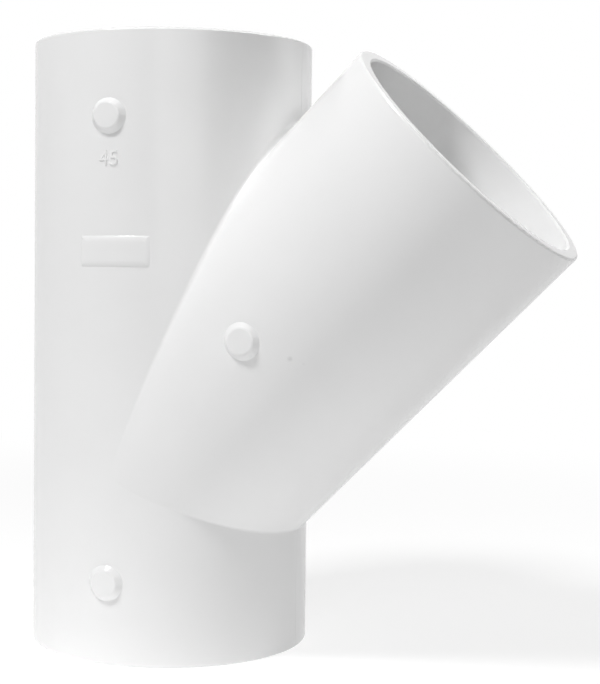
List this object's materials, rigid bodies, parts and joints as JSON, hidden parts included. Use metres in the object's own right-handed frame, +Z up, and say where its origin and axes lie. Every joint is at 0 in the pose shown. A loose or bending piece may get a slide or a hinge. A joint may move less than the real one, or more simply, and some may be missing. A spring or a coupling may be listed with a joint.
{
  "type": "lateral wye fitting",
  "caption": "Lateral wye pipe fitting: a straight run with an equal branch at 45 degrees and a solvent-weld socket at every end, moulded in one piece.",
  "frame": {"origin": "centre of the run's lower end face", "axes": "+Z up the run's axis, +X towards the branch, and the side with the bosses faces -Y"},
  "size_m": [0.2493, 0.1291, 0.2724],
  "materials": {
    "white_pvc": "moulded, semi-gloss"
  },
  "bodies": {
    "root": {"wye_body": "white_pvc"}
  },
  "joints": []
}
